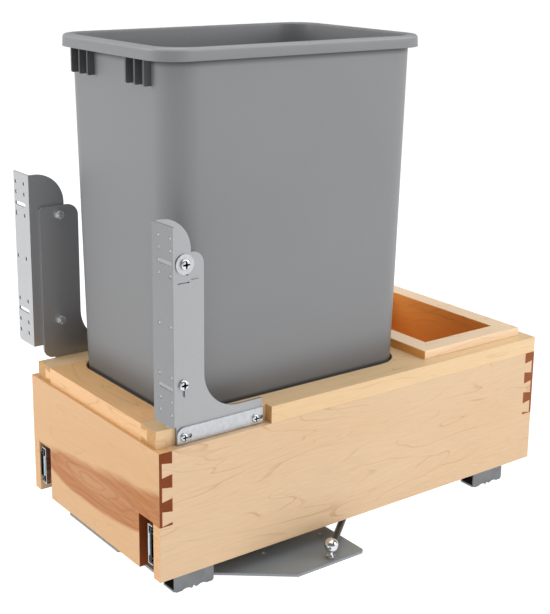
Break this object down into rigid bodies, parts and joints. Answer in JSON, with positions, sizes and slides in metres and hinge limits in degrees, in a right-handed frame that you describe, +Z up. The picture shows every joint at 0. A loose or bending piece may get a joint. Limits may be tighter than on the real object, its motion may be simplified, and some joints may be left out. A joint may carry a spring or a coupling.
{
  "type": "pull-out waste bin unit",
  "caption": "Wooden pull-out frame for a base cabinet with one tall bin, a rear tray, ball-bearing slides, door brackets and a floor-mounted gas spring.",
  "frame": {"origin": "on the cabinet floor, at the centre of the four floor-bracket screw holes", "axes": "+Z up, -Y towards the cabinet front and the way the frame pulls out, +X to the right seen from the front"},
  "size_m": [0.3648, 0.565, 0.577],
  "materials": {
    "maple_side": "clear satin lacquer",
    "maple_front": "clear satin lacquer",
    "maple_top": "clear satin lacquer",
    "bottom_board": "clear satin lacquer",
    "tray_wood": "clear satin lacquer",
    "rim_wood": "clear satin lacquer",
    "bin_plastic": "moulded, fine matt",
    "bracket_steel": "grey powder coat",
    "zinc": "bright zinc plate",
    "screw_steel": "bright zinc plate",
    "slide_steel": "zinc plate",
    "foot_steel": "galvanised",
    "plate_steel": "grey coat, satin",
    "blue_plastic": "moulded",
    "black_rod": "black nitrided, satin",
    "black_tube": "black paint, satin",
    "chrome_end": "polished"
  },
  "bodies": {
    "cabinet_side": {"foot_front_right": "foot_steel", "foot_front_left": "foot_steel", "foot_rear_right": "foot_steel", "foot_rear_left": "foot_steel", "cabinet_slide_right": "slide_steel", "cabinet_slide_left": "slide_steel", "slide_rivets": "screw_steel", "base_plate": "plate_steel", "plate_stud": "screw_steel"},
    "frame": {"side_panel_right": "maple_side", "side_panel_left": "maple_side", "front_panel": "maple_front", "rear_panel": "maple_side", "bottom_panel": "bottom_board", "top_front_board": "maple_top", "top_side_right": "maple_top", "top_side_left": "maple_top", "top_middle_board": "maple_top", "top_rear_board": "maple_top", "tray_front_wall": "tray_wood", "tray_rear_wall": "tray_wood", "tray_side_walls": "tray_wood", "tray_floor": "tray_wood", "tray_rim": "rim_wood", "arm_right": "bracket_steel", "arm_left": "bracket_steel", "door_angle_right": "bracket_steel", "door_angle_left": "bracket_steel", "cleat_right": "zinc", "cleat_left": "zinc", "cleat_screws": "screw_steel", "angle_bolts": "screw_steel", "angle_washers": "zinc", "angle_nuts": "screw_steel", "frame_slide_right": "slide_steel", "frame_slide_left": "slide_steel", "slide_screws": "screw_steel", "pin_plate": "bracket_steel", "pin_plate_screws": "screw_steel"},
    "bin": {"bin": "bin_plastic"},
    "middle_right": {"middle_slide_right": "slide_steel", "slide_bumper_right": "blue_plastic"},
    "middle_left": {"middle_slide_left": "slide_steel", "slide_bumper_left": "blue_plastic"},
    "rod": {"spring_rod": "black_rod", "rod_end": "chrome_end"},
    "tube": {"spring_cylinder": "black_tube", "cylinder_gland": "black_rod", "cylinder_eye": "zinc"}
  },
  "joints": [
    {"name": "pull_out", "type": "slide", "parent": "cabinet_side", "child": "frame", "axis": [0, -1, 0], "range_m": [0, 0.48]},
    {"name": "middle_right_slide", "type": "slide", "parent": "cabinet_side", "child": "middle_right", "axis": [0, -1, 0], "range_m": [0, 0.24]},
    {"name": "middle_left_slide", "type": "slide", "parent": "cabinet_side", "child": "middle_left", "axis": [0, -1, 0], "range_m": [0, 0.24]},
    {"name": "bin_lift", "type": "slide", "parent": "frame", "child": "bin", "axis": [0, 0, 1], "range_m": [0, 0.25]},
    {"name": "spring_swing", "type": "hinge", "parent": "cabinet_side", "child": "rod", "pos_m": [0.18, -0.068, 0.0185], "axis": [0, 0, 1], "range_deg": [0, 99.27]},
    {"name": "spring_stroke", "type": "slide", "parent": "rod", "child": "tube", "axis": [0.6476, -0.7619, 0], "range_m": [0, 0.1]}
  ],
  "couplings": [
    {"joint": "middle_right_slide", "follows": "pull_out", "ratio": 0.5},
    {"joint": "middle_left_slide", "follows": "pull_out", "ratio": 0.5},
    {"joint": "spring_swing", "follows": "pull_out", "rad_per_m": 3.6096}
  ]
}
